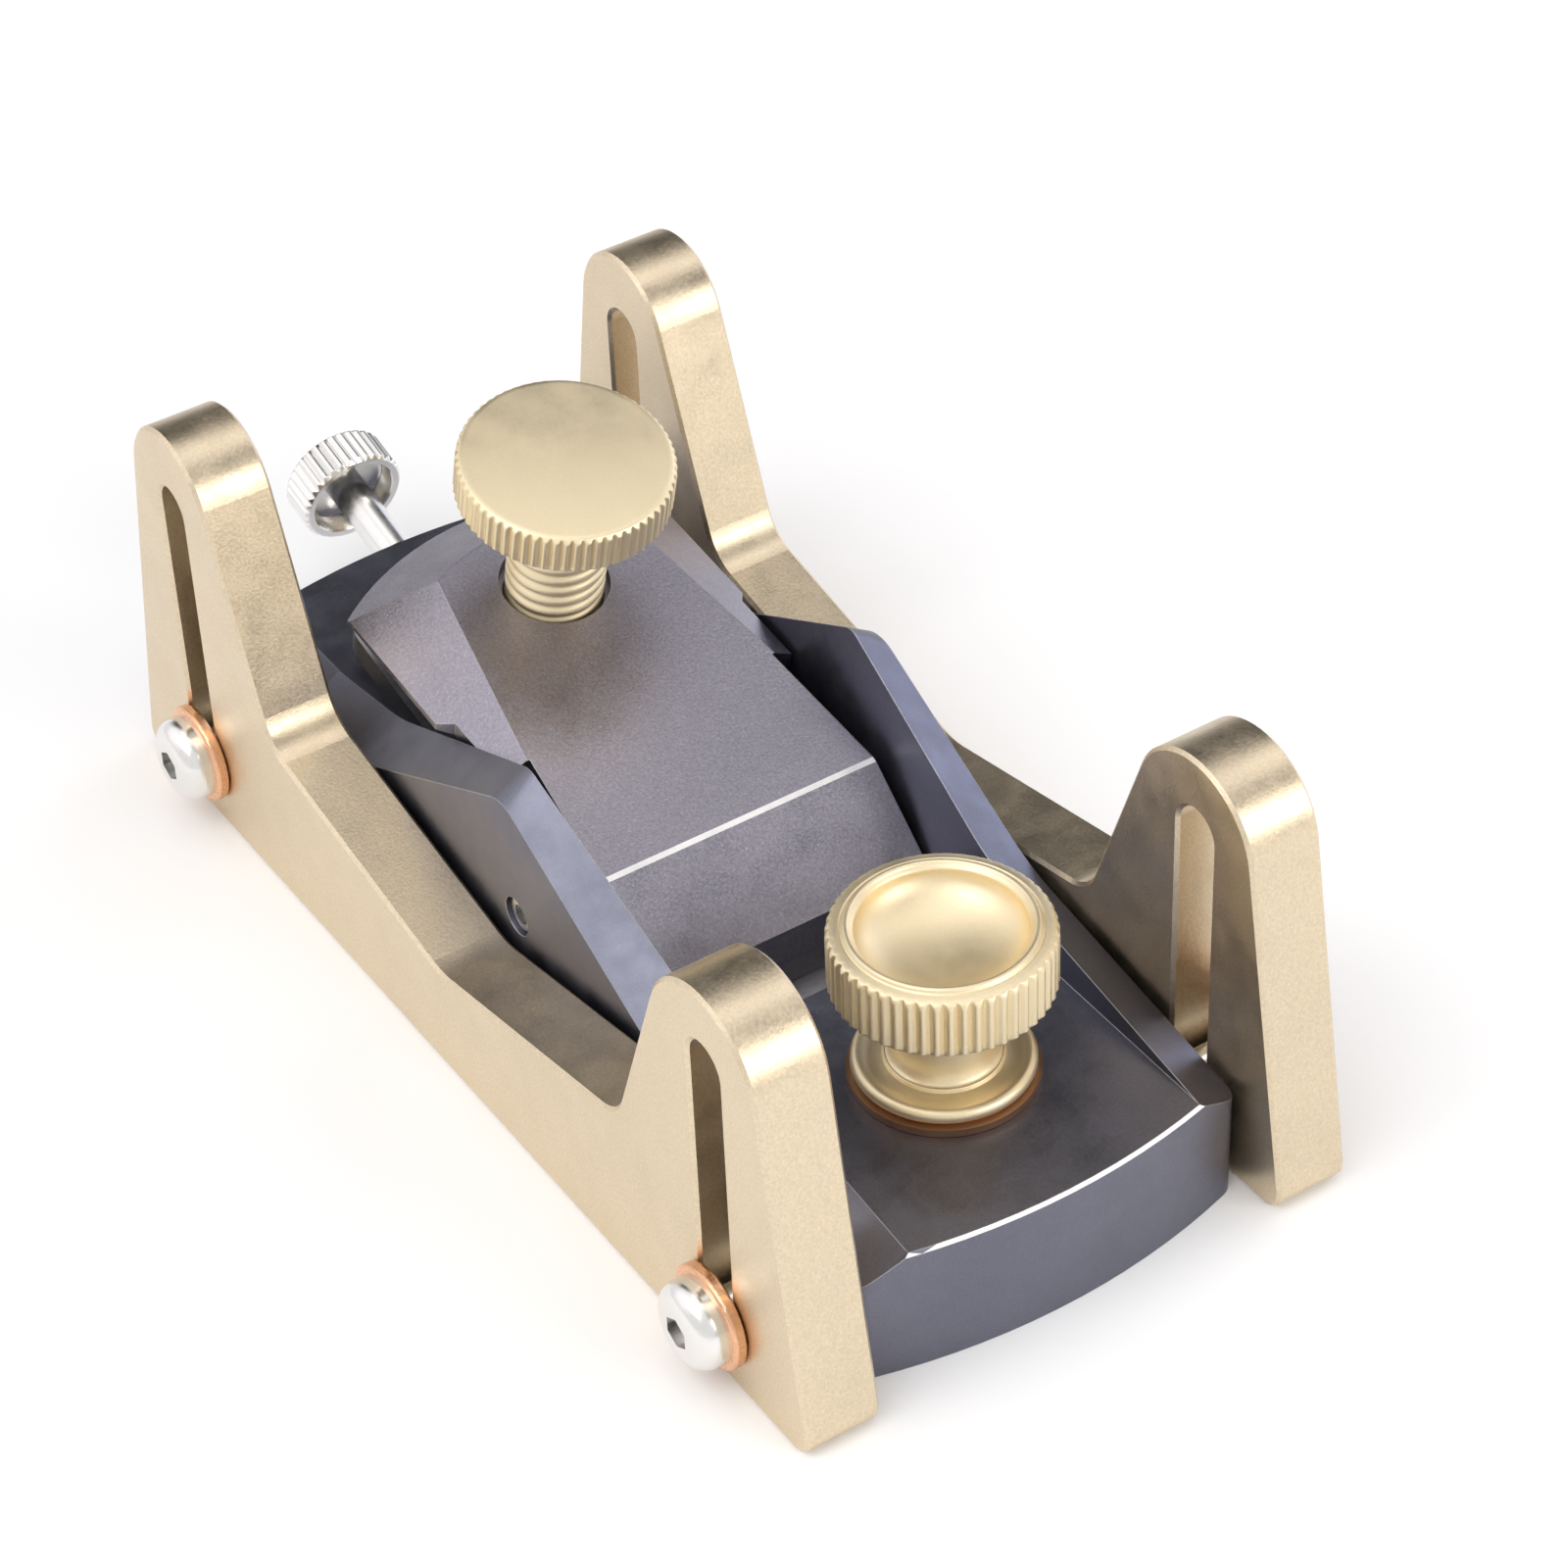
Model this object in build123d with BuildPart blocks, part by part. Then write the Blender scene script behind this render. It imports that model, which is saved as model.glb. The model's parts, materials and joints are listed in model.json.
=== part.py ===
"""Small metal hand plane with two height-adjustable side rails.

Frame: X points to the toe, Y to the left-hand side, Z up. The origin lies on the sole,
halfway along the body. Every length is in millimetres, every angle in degrees.
"""
from build123d import *
from math import asin, cos, radians, sin, tan
import os

os.makedirs("parts", exist_ok=True)

# ---- driving dimensions -------------------------------------------------------------
body_length = 119.6          # toe to heel, over the two end arcs
body_width = 43.0
end_arc_radius = 71.0        # plan radius of toe and heel
deck_height = 14.2           # flat decks at toe and heel
bed_angle = 14.3             # blade bed above the sole
mouth_x = 24.5               # where the bed plane meets the sole
throat_front_x = 25.0        # rear edge of the toe deck
wall_y = 16.0                # inner wall of each cheek at deck height
wall_lean = 0.125            # outward lean of that wall, per mm of height
cheek_peak = (-0.5, 32.6)    # x and z of the cheek's crest line, taken at wall_y
cheek_fall = 0.62            # the crest surface drops outward by this, per mm of y

rail_gap = 22.2              # each rail's inner face, from the middle
rail_thickness = 7.8
rail_half_length = 62.4
rail_arch_radii = (7.7, 8.5) # round tops of the rear and the front ears
slot_x = 48.0
slot_width = 5.0
slot_low = {-1: 7.8, 1: 7.0}     # lower end of the rear and front slots, and the screws
slot_high = {-1: 38.0, 1: 36.6}  # centre of each slot's upper end
rail_screw_diameter = 4.0

blade_width = 30.0
blade_thickness = 3.0
blade_length = 72.0
cap_top = 16.2               # lever cap's top face above the bed
pin_position = (0.6, 15.4)   # x and z of the lever cap's cross pin
pin_diameter = 4.0
cap_screw_diameter = 10.0
cap_screw_s = 34.0           # place of the cap screw along the lever cap

plate_width = 25.0           # sliding mouth plate in the sole
plate_thickness = 4.0
plate_rear_x = 26.0
plate_front_x = 51.0
knob_x = 40.4                # mouth lock knob
stud_diameter = 6.0

adjuster_drop = 9.3          # adjuster axis below the bed plane
adjuster_shaft_diameter = 3.3
fit = 0.05                   # radial play of a running fit

half_length = body_length / 2
half_width = body_width / 2
sin_bed = sin(radians(bed_angle))
cos_bed = cos(radians(bed_angle))
tan_bed = tan(radians(bed_angle))


def on_bed(along, above):
    """World x and z of a point `along` mm up the bed from the mouth and `above` it."""
    return (
        mouth_x - along * cos_bed + above * sin_bed,
        along * sin_bed + above * cos_bed,
    )


def bed_plane(along, above, across=0.0):
    """Plane whose x runs down the bed to the toe, y to the left and z out of the bed."""
    x, z = on_bed(along, above)
    return Plane((x, across, z), x_dir=(cos_bed, 0, -sin_bed), z_dir=(sin_bed, 0, cos_bed))


def side_plane(y):
    """Vertical plane at `y`, drawn in world x and z, whose normal points to -Y."""
    return Plane.XZ.offset(-y)


def adjuster_plane(along):
    """Plane across the adjuster's axis, whose normal runs up and out of the heel."""
    x, z = on_bed(along, -adjuster_drop)
    return Plane((x, 0, z), x_dir=(0, 1, 0), z_dir=(-cos_bed, 0, sin_bed))


def dish_arc(radius, rim, depth):
    """Half section of a spherical dish from its rim in; a negative depth makes a crown."""
    sphere = (radius**2 + depth**2) / (2 * depth)
    half_angle = asin(radius / sphere) / 2
    middle = (sphere * sin(half_angle), rim - depth + sphere * (1 - cos(half_angle)))
    return ThreePointArc((radius, rim), middle, (0, rim - depth))


# The cap's own sketch plane: x is measured forward of its top front edge.
cap_front_along = (mouth_x - 7.0) * cos_bed + 21.2 * sin_bed
cap_screw_along = cap_front_along + cap_screw_s
cap_plane = bed_plane(cap_front_along, cap_top)
cap_screw_plane = bed_plane(cap_screw_along, cap_top)


# ---- plane body ---------------------------------------------------------------------
end_sagitta = end_arc_radius - (end_arc_radius**2 - half_width**2) ** 0.5
corner_x = half_length - end_sagitta
plan_corner_radius = 2.5
body_stock_height = 36.0
crest_foot_front = 57.6
crest_foot_rear = -44.0
crest_knee_front = (24.3, 19.8)
crest_knee_rear = (-30.4, 17.1)
crest_knee_radius = 22.0
pad_proud = 0.65             # rail pads stand this far off the body's sides
pad_size = (10.0, 6.0)
plate_recess_front_x = 53.5
heel_pocket_width = 6.4
heel_pocket_along = (61.5, 75.5)
bush_diameter = 4.2
bush_length = 4.5
screw_hole_depth = 8.0
edge_break = 0.3


def crest_section(y, peak_radius):
    """Region above a cheek's crest line, `y` mm out; the crest sinks going outward."""
    sink = cheek_fall * (abs(y) - wall_y)
    with BuildSketch(side_plane(y)) as section:
        with BuildLine():
            crest = FilletPolyline(
                (-70, deck_height - sink),
                (crest_foot_rear, deck_height - sink),
                (crest_knee_rear[0], crest_knee_rear[1] - sink),
                (cheek_peak[0], cheek_peak[1] - sink),
                (crest_knee_front[0], crest_knee_front[1] - sink),
                (crest_foot_front, deck_height - sink),
                (70, deck_height - sink),
                radius=(2.0, crest_knee_radius, peak_radius, crest_knee_radius, 2.0),
            )
            Polyline(crest @ 1, (70, 60), (-70, 60), crest @ 0)
        make_face()
    return section.sketch


def crest_cut(side):
    """Everything above one cheek's crest, whose peak is sharp inside and round outside."""
    inner = crest_section(side * wall_y, 0.5)
    outer = crest_section(side * (half_width + 1), 5.0)
    return loft([inner.face(), outer.face()], ruled=True)


with BuildPart() as plane_body:
    with BuildSketch() as plan:
        with BuildLine():
            ThreePointArc((corner_x, -half_width), (half_length, 0), (corner_x, half_width))
            Line((corner_x, half_width), (-corner_x, half_width))
            ThreePointArc((-corner_x, half_width), (-half_length, 0), (-corner_x, -half_width))
            Line((-corner_x, -half_width), (corner_x, -half_width))
        make_face()
        fillet(plan.vertices(), plan_corner_radius)
    extrude(amount=body_stock_height)
    # space between the leaning cheek walls, down to the decks
    wall_rise = body_stock_height + 1 - deck_height
    with BuildSketch(Plane.YZ.offset(-70)):
        with BuildLine():
            Polyline(
                (-wall_y, deck_height),
                (wall_y, deck_height),
                (wall_y + wall_lean * wall_rise, deck_height + wall_rise),
                (-wall_y - wall_lean * wall_rise, deck_height + wall_rise),
                close=True,
            )
        make_face()
    extrude(amount=140, mode=Mode.SUBTRACT)
    # throat: bed below, toe deck in front
    with BuildSketch(side_plane(wall_y)):
        with BuildLine():
            Polyline(
                (mouth_x + 3, -3 * tan_bed),
                (mouth_x - (deck_height + 2) / tan_bed, deck_height + 2),
                (throat_front_x, deck_height + 2),
                (throat_front_x, deck_height),
                (mouth_x + 3, plate_thickness),
                close=True,
            )
        make_face()
    extrude(amount=2 * wall_y, mode=Mode.SUBTRACT)
    for side in (-1, 1):
        add(crest_cut(side), mode=Mode.SUBTRACT)
    # recess in the sole for the mouth plate, and the slot for its stud
    with BuildSketch():
        with Locations((mouth_x - 0.5, 0)):
            Rectangle(
                plate_recess_front_x - mouth_x + 0.5,
                plate_width + 0.2,
                align=(Align.MIN, Align.CENTER),
            )
    extrude(amount=plate_thickness + 0.1, mode=Mode.SUBTRACT)
    with BuildSketch(Plane.XY.offset(plate_thickness)):
        with Locations((knob_x + 0.5, 0)):
            SlotCenterToCenter(5.0, stud_diameter + 0.4)
    extrude(amount=deck_height, mode=Mode.SUBTRACT)
    # pads that carry the rails, each with a tapped hole
    for side in (-1, 1):
        for end in (-1, 1):
            with BuildSketch(side_plane(side * (half_width - 1))):
                with Locations((end * slot_x, slot_low[end])):
                    RectangleRounded(*pad_size, radius=2)
            extrude(amount=-side * (1 + pad_proud))
            with BuildSketch(side_plane(side * (half_width + pad_proud))):
                with Locations((end * slot_x, slot_low[end])):
                    Circle(rail_screw_diameter / 2 + fit)
            extrude(amount=side * screw_hole_depth, mode=Mode.SUBTRACT)
    # cross bore for the lever cap's pin
    with BuildSketch(side_plane(half_width + 1)):
        with Locations(pin_position):
            Circle(pin_diameter / 2 + fit)
    extrude(amount=body_width + 2, mode=Mode.SUBTRACT)
    # heel: pocket for the adjuster carriage, bore for its bush
    with BuildSketch(bed_plane(sum(heel_pocket_along) / 2, 2)):
        RectangleRounded(
            heel_pocket_along[1] - heel_pocket_along[0], heel_pocket_width, radius=1
        )
    extrude(amount=-(adjuster_drop + 6.0), mode=Mode.SUBTRACT)
    with BuildSketch(adjuster_plane(heel_pocket_along[1] - 1)):
        Circle(bush_diameter / 2)
    extrude(amount=1 + bush_length, mode=Mode.SUBTRACT)
    with BuildSketch(adjuster_plane(heel_pocket_along[1])):
        Circle(adjuster_shaft_diameter / 2 + fit)
    extrude(amount=30, mode=Mode.SUBTRACT)
    # broken edges round the decks at toe and heel
    for end in (-1, 1):
        with BuildSketch(Plane.XZ):
            with BuildLine():
                Polyline(
                    (end * (half_length - 2 * edge_break), deck_height + edge_break),
                    (end * (half_length + 1), deck_height + edge_break),
                    (end * (half_length + 1), deck_height - edge_break - 1),
                    close=True,
                )
            make_face()
        arc_axis = Axis((end * (half_length - end_arc_radius), 0, 0), (0, 0, 1))
        revolve(axis=arc_axis, mode=Mode.SUBTRACT)
plane_body.part.label = "plane_body"
export_step(plane_body.part, "parts/plane_body.step")


# ---- side rails ---------------------------------------------------------------------
ear_outer_lean = 0.168       # run per mm of height of an ear's outer edge
ear_inner_foot = (32.2, 18.7)
ear_inner_lean = 0.37
valley_height = 12.1
rail_edge_break = 0.35
apex_z = (rail_half_length - ear_inner_foot[0] + ear_inner_lean * ear_inner_foot[1]) / (
    ear_outer_lean + ear_inner_lean
)
apex_x = rail_half_length - ear_outer_lean * apex_z


def make_rail(side):
    """A rail with a round-topped, slotted ear at each end and a shallow V between."""
    foot_x, foot_z = ear_inner_foot
    with BuildPart() as rail:
        with BuildSketch(side_plane(side * rail_gap)) as profile:
            with BuildLine():
                Polyline(
                    (-rail_half_length, 0),
                    (-apex_x, apex_z),
                    (-foot_x, foot_z),
                    (0, valley_height),
                    (foot_x, foot_z),
                    (apex_x, apex_z),
                    (rail_half_length, 0),
                    close=True,
                )
            make_face()
            for arch_radius in rail_arch_radii:
                sharp_tops = profile.vertices().filter_by_position(Axis.Y, apex_z - 1, apex_z + 1)
                fillet(sharp_tops.sort_by(Axis.X)[0], arch_radius)
            fillet(profile.vertices().filter_by_position(Axis.Y, foot_z - 0.1, foot_z + 0.1), 5.0)
            fillet(profile.vertices().filter_by_position(Axis.X, -0.1, 0.1), 8.0)
            fillet(profile.vertices().group_by(Axis.Y)[0], 2.2)
            for end in (-1, 1):
                with Locations((end * slot_x, (slot_low[end] + slot_high[end]) / 2)):
                    SlotCenterToCenter(
                        slot_high[end] - slot_low[end],
                        slot_width,
                        rotation=90,
                        mode=Mode.SUBTRACT,
                    )
        extrude(amount=-side * rail_thickness)
        chamfer(rail.faces().filter_by(Axis.Y).edges(), rail_edge_break)
    return rail.part


for side, rail_name in ((-1, "right_rail"), (1, "left_rail")):
    rail_part = make_rail(side)
    rail_part.label = rail_name
    export_step(rail_part, f"parts/{rail_name}.step")


# ---- rail screws and their copper washers -------------------------------------------
rail_washer_outer = 10.4
rail_washer_thickness = 1.4
rail_screw_head = (8.8, 2.9)     # diameter and height
rail_screw_socket = (2.9, 1.8)   # across flats, depth
sliding_gap = 0.05
washer_seat = rail_gap + rail_thickness + sliding_gap
head_seat = washer_seat + rail_washer_thickness
rail_screw_length = head_seat - (half_width + pad_proud - screw_hole_depth) - 0.6


def rail_seats(distance):
    """One location for each rail screw, with its axis pointing outward."""
    return [
        Location(Plane((end * slot_x, side * distance, slot_low[end]), z_dir=(0, side, 0)))
        for side in (-1, 1)
        for end in (-1, 1)
    ]


with BuildPart() as rail_screw:
    with BuildSketch():
        Circle(rail_screw_diameter / 2)
    extrude(amount=-rail_screw_length)
    with BuildSketch():
        Circle(rail_screw_head[0] / 2)
    extrude(amount=rail_screw_head[1])
    fillet(rail_screw.edges().group_by(Axis.Z)[-1], 2.0)
    with BuildSketch(Plane.XY.offset(rail_screw_head[1])):
        RegularPolygon(rail_screw_socket[0] / 2, 6, major_radius=False)
    extrude(amount=-rail_screw_socket[1], mode=Mode.SUBTRACT)
    chamfer(rail_screw.edges().group_by(Axis.Z)[0], 0.5)

with BuildPart() as rail_screws:
    with Locations(*rail_seats(head_seat)):
        add(rail_screw.part)
rail_screws.part.label = "rail_screws"
export_step(rail_screws.part, "parts/rail_screws.step")

with BuildPart() as rail_washer:
    with BuildSketch():
        Circle(rail_washer_outer / 2)
        Circle(rail_screw_diameter / 2 + 0.1, mode=Mode.SUBTRACT)
    extrude(amount=rail_washer_thickness)
    fillet(rail_washer.edges().filter_by(GeomType.CIRCLE).group_by(SortBy.RADIUS)[-1], 0.45)

with BuildPart() as rail_washers:
    with Locations(*rail_seats(washer_seat)):
        add(rail_washer.part)
rail_washers.part.label = "rail_washers"
export_step(rail_washers.part, "parts/rail_washers.step")


# ---- lever cap's cross pin and the set screws that hold it --------------------------
pin_half_length = 19.4
set_screw_length = 1.6
set_screw_socket = (2.0, 1.0)

with BuildPart() as cap_pin:
    with BuildSketch(side_plane(pin_half_length)):
        with Locations(pin_position):
            Circle(pin_diameter / 2)
    extrude(amount=2 * pin_half_length)
    chamfer(cap_pin.edges().filter_by(GeomType.CIRCLE), 0.3)
cap_pin.part.label = "cap_pin"
export_step(cap_pin.part, "parts/cap_pin.step")

with BuildPart() as set_screw:
    with BuildSketch():
        Circle(pin_diameter / 2)
    extrude(amount=set_screw_length)
    chamfer(set_screw.edges().group_by(Axis.Z)[-1], 0.3)
    with BuildSketch(Plane.XY.offset(set_screw_length)):
        RegularPolygon(set_screw_socket[0] / 2, 6, major_radius=False)
    extrude(amount=-set_screw_socket[1], mode=Mode.SUBTRACT)

set_screw_seats = [
    Location(Plane((pin_position[0], side * (pin_half_length + 0.05), pin_position[1]),
                   z_dir=(0, side, 0)))
    for side in (-1, 1)
]
with BuildPart() as pin_set_screws:
    with Locations(*set_screw_seats):
        add(set_screw.part)
pin_set_screws.part.label = "pin_set_screws"
export_step(pin_set_screws.part, "parts/pin_set_screws.step")


# ---- mouth plate, its stud and the copper washer under the lock knob ----------------
knob_washer_outer = 18.0
knob_washer_thickness = 0.8
stud_foot = 0.8
stud_top = 26.0
washer_z = deck_height + sliding_gap
flange_z = washer_z + knob_washer_thickness

with BuildPart() as mouth_plate:
    with BuildSketch():
        with Locations((plate_rear_x, 0)):
            Rectangle(plate_front_x - plate_rear_x, plate_width, align=(Align.MIN, Align.CENTER))
    extrude(amount=plate_thickness)
    chamfer(mouth_plate.edges().filter_by(Axis.Y).group_by(Axis.Z)[-1].sort_by(Axis.X)[0], 1.5)
    fillet(mouth_plate.edges().filter_by(Axis.Z).group_by(Axis.X)[-1], 1.5)
    with BuildSketch(Plane.XY.offset(plate_thickness)):
        with Locations((knob_x, 0)):
            Circle(stud_diameter / 2)
    extrude(amount=stud_foot - plate_thickness, mode=Mode.SUBTRACT)
mouth_plate.part.label = "mouth_plate"
export_step(mouth_plate.part, "parts/mouth_plate.step")

with BuildPart() as knob_stud:
    with BuildSketch(Plane.XY.offset(stud_foot)):
        with Locations((knob_x, 0)):
            Circle(stud_diameter / 2)
    extrude(amount=stud_top - stud_foot)
    chamfer(knob_stud.edges().group_by(Axis.Z)[-1], 0.5)
knob_stud.part.label = "knob_stud"
export_step(knob_stud.part, "parts/knob_stud.step")

with BuildPart() as knob_washer:
    with BuildSketch(Plane.XY.offset(washer_z)):
        with Locations((knob_x, 0)):
            Circle(knob_washer_outer / 2)
            Circle(stud_diameter / 2 + 0.1, mode=Mode.SUBTRACT)
    extrude(amount=knob_washer_thickness)
knob_washer.part.label = "knob_washer"
export_step(knob_washer.part, "parts/knob_washer.step")


# ---- mouth lock knob ----------------------------------------------------------------
flange_radius = 8.6
neck_radius = 4.7
bead_radius = 5.6                # raised ring where the neck meets the flange
knob_radius = 10.5
knob_head = (25.1, 32.0)         # lower and upper faces of the head
lip_radius = 9.0
dish_radius = 7.9
dish_depth = 3.9

with BuildPart() as front_knob:
    with BuildSketch(Plane((knob_x, 0, 0), x_dir=(1, 0, 0), z_dir=(0, -1, 0))):
        with BuildLine():
            Polyline(
                (stud_diameter / 2 + fit, flange_z + 0.03),
                (flange_radius - 0.4, flange_z + 0.03),
                (flange_radius, flange_z + 0.4),
                (flange_radius, flange_z + 1.2),
                (flange_radius - 0.4, flange_z + 1.6),
            )
            ThreePointArc(
                (flange_radius - 0.4, flange_z + 1.6),
                (flange_radius - 1.6, flange_z + 1.3),
                (bead_radius, flange_z + 1.45),
            )
            Line((bead_radius, flange_z + 1.45), (bead_radius, flange_z + 1.8))
            ThreePointArc(
                (bead_radius, flange_z + 1.8),
                (neck_radius + 0.25, flange_z + 2.2),
                (neck_radius, flange_z + 3.2),
            )
            Polyline(
                (neck_radius, flange_z + 3.2),
                (neck_radius, knob_head[0]),
                (knob_radius - 0.5, knob_head[0]),
                (knob_radius, knob_head[0] + 0.5),
                (knob_radius, knob_head[1] - 0.9),
                (lip_radius, knob_head[1] - 0.3),
                (lip_radius - 0.3, knob_head[1]),
                (dish_radius + 0.3, knob_head[1]),
                (dish_radius, knob_head[1] - 0.3),
            )
            dish_arc(dish_radius, knob_head[1] - 0.3, dish_depth)
            Polyline(
                (0, knob_head[1] - 0.3 - dish_depth),
                (0, stud_top + 0.4),
                (stud_diameter / 2 + fit, stud_top + 0.4),
                (stud_diameter / 2 + fit, flange_z + 0.03),
            )
        make_face()
    revolve(axis=Axis((knob_x, 0, 0), (0, 0, 1)))
front_knob.part.label = "front_knob"
export_step(front_knob.part, "parts/front_knob.step")


# ---- lever cap ----------------------------------------------------------------------
cap_front_low = (15.7, 13.7)     # x and z of the lower edge of the cap's front face
nose_along = (10.6, 14.2)        # the nose rests on the blade between these
nose_gap = 0.06
cap_arch = 5.2                   # the cap clears the blade by this behind the nose
cap_rear_underside = 8.8         # underside of the rear half above the bed
cap_rear_s = 49.4                # rear end of the cap, along it
cap_rear_radius = 30.0
cap_wing_half_width = 17.8
cap_step_half_width = 16.6       # width where the facets pass behind the cheeks
cap_core_half_width = 15.2
cap_front_half_width = 15.5
cap_taper = 0.1                  # the front part narrows rearward by this, each side
kink_s = 20.0                    # where the narrow part's side line meets the facets
step_s = 15.8                    # front end of the facets, hidden by the cheeks
shoulder_s = 26.5                # where the cap reaches its full width
cap_rear_bevel = (7.6, 6.2)      # along the top, and down
facet_normal = (0.098, 0.588, 0.803)   # along the cap to the rear, outward, up
screw_recess = (0.55, 1.6)       # width and depth of the recess round the cap screw
wing_underside = (12.6, 8.9)     # front and rear height of the wings above the bed


def cap_point(s, across=0.0, above=0.0):
    """Point on the cap: s rearward along its top, `above` out of the top face."""
    return cap_plane.from_local_coords((-s, across, above))


kink_half_width = cap_front_half_width - cap_taper * kink_s
blade_top = blade_thickness + nose_gap + 0.03

with BuildPart() as lever_cap:
    # plan outline, drawn on the cap's top face and cut through
    with BuildSketch(cap_plane):
        with BuildLine():
            front = (11.0, cap_front_half_width)
            waist = (-step_s, cap_front_half_width - cap_taper * step_s)
            step = (-step_s - 0.3, cap_step_half_width)
            step_end = (-shoulder_s + 1.6, cap_step_half_width)
            shoulder = (-shoulder_s, cap_wing_half_width)
            rear_corner_s = cap_rear_s - cap_rear_radius + (
                cap_rear_radius**2 - cap_wing_half_width**2
            ) ** 0.5
            rear_corner = (-rear_corner_s, cap_wing_half_width)
            edge = [
                front,
                (0, cap_front_half_width),
                waist,
                step,
                step_end,
                shoulder,
                rear_corner,
            ]
            mirrored = [(x, -y) for x, y in edge]
            Polyline(*reversed(edge))
            Line(front, mirrored[0])
            Polyline(*mirrored)
            ThreePointArc(mirrored[-1], (-cap_rear_s, 0), rear_corner)
        make_face()
    extrude(amount=-cap_top)
    chamfer(
        lever_cap.edges().filter_by(GeomType.CIRCLE).group_by(Axis.Z)[-1],
        cap_rear_bevel[0],
        cap_rear_bevel[1],
        reference=lever_cap.faces().sort_by(Axis.Z)[-1],
    )
    # side profile: sloping front face, nose, arch over the blade, thin rear
    with BuildSketch(side_plane(20)):
        with BuildLine():
            Polyline(
                on_bed(cap_front_along, cap_top),
                cap_front_low,
                on_bed(nose_along[0], blade_top),
                on_bed(nose_along[1], blade_top),
                on_bed(nose_along[1] + 3, cap_arch),
                on_bed(cap_front_along + 12, cap_arch),
                on_bed(cap_front_along + 18, cap_rear_underside),
                on_bed(cap_front_along + 60, cap_rear_underside),
                on_bed(cap_front_along + 60, cap_top),
                close=True,
            )
        make_face()
    extrude(amount=40, mode=Mode.INTERSECT)
    # broken front edge of the top face
    bed_axis = Axis(cap_plane.origin, cap_plane.z_dir)
    top_edges = lever_cap.faces().sort_by(bed_axis)[-1].edges().filter_by(GeomType.LINE)
    chamfer(top_edges.sort_by(Axis.X)[-1], edge_break)
    # the wings of the rear half are thinner than its middle
    for side in (-1, 1):
        wing_front = on_bed(cap_front_along + step_s - 1, wing_underside[0])
        wing_rear = on_bed(cap_front_along + cap_rear_s + 2, wing_underside[1])
        with BuildSketch(side_plane(side * cap_core_half_width)):
            with BuildLine():
                Polyline(
                    wing_front,
                    wing_rear,
                    on_bed(cap_front_along + cap_rear_s + 2, 0),
                    on_bed(cap_front_along + step_s - 1, 0),
                    close=True,
                )
            make_face()
        extrude(amount=-side * 5, mode=Mode.SUBTRACT)
    # facets along both sides of the rear half
    for side in (-1, 1):
        rearward, outward, upward = facet_normal
        normal = (
            -rearward * cos_bed + upward * sin_bed,
            side * outward,
            rearward * sin_bed + upward * cos_bed,
        )
        foot = cap_point(kink_s, side * kink_half_width)
        with BuildSketch(Plane(foot, z_dir=normal)):
            Rectangle(90, 90)
        extrude(amount=12, mode=Mode.SUBTRACT)
    # bores for the cross pin and the cap screw
    with BuildSketch(side_plane(20)):
        with Locations(pin_position):
            Circle(pin_diameter / 2 + fit)
    extrude(amount=40, mode=Mode.SUBTRACT)
    with BuildSketch(cap_screw_plane):
        Circle(cap_screw_diameter / 2 + fit)
    extrude(amount=-12, mode=Mode.SUBTRACT)
    with BuildSketch(cap_screw_plane):
        Circle(cap_screw_diameter / 2 + screw_recess[0])
    extrude(amount=-screw_recess[1], mode=Mode.SUBTRACT)
lever_cap.part.label = "lever_cap"
export_step(lever_cap.part, "parts/lever_cap.step")


# ---- cap knob with its threaded stem, and the foot that presses on the blade --------
cap_knob_radius = 10.7
cap_knob_head = (13.2, 18.2)     # lower face and crown above the cap's top
cap_knob_crown = 0.4
foot_gap = 0.06
foot_thickness = 1.3
stem_end = blade_thickness + 0.03 + foot_gap + foot_thickness - cap_top
foot_radius = 4.2
foot_pin_radius = 1.5
foot_pin_length = 3.0

crown_rim = cap_knob_head[1] - cap_knob_crown

with BuildPart() as cap_knob:
    with BuildSketch(Plane(cap_screw_plane.origin, x_dir=cap_screw_plane.x_dir,
                           z_dir=(0, -1, 0))):
        with BuildLine():
            Polyline(
                (0, cap_knob_head[1]),
                (0, stem_end + foot_pin_length + 0.2),
                (foot_pin_radius + fit, stem_end + foot_pin_length + 0.2),
                (foot_pin_radius + fit, stem_end),
                (cap_screw_diameter / 2 - 0.8, stem_end),
                (cap_screw_diameter / 2, stem_end + 0.8),
                (cap_screw_diameter / 2, cap_knob_head[0]),
                (cap_knob_radius - 0.5, cap_knob_head[0]),
                (cap_knob_radius, cap_knob_head[0] + 0.5),
                (cap_knob_radius, crown_rim - 0.4),
                (cap_knob_radius - 0.5, crown_rim),
            )
            dish_arc(cap_knob_radius - 0.5, crown_rim, -cap_knob_crown)
        make_face()
    revolve(axis=Axis(cap_screw_plane.origin, cap_screw_plane.z_dir))
cap_knob.part.label = "cap_knob"
export_step(cap_knob.part, "parts/cap_knob.step")

with BuildPart() as cap_screw_foot:
    with BuildSketch(cap_screw_plane.offset(stem_end - foot_thickness)):
        Circle(foot_radius)
    extrude(amount=foot_thickness)
    with BuildSketch(cap_screw_plane.offset(stem_end)):
        Circle(foot_pin_radius)
    extrude(amount=foot_pin_length)
cap_screw_foot.part.label = "cap_screw_foot"
export_step(cap_screw_foot.part, "parts/cap_screw_foot.step")


# ---- blade, and the carriage that the adjuster drives -------------------------------
blade_edge_along = 0.35
blade_bevel_angle = 27.0
bed_gap = 0.03
carriage_along = 67.0
carriage_size = (7.0, 6.0, 7.4)  # along, across, high
carriage_thread = 2.4
peg_diameter = 3.0
peg_along = 67.0

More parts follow.
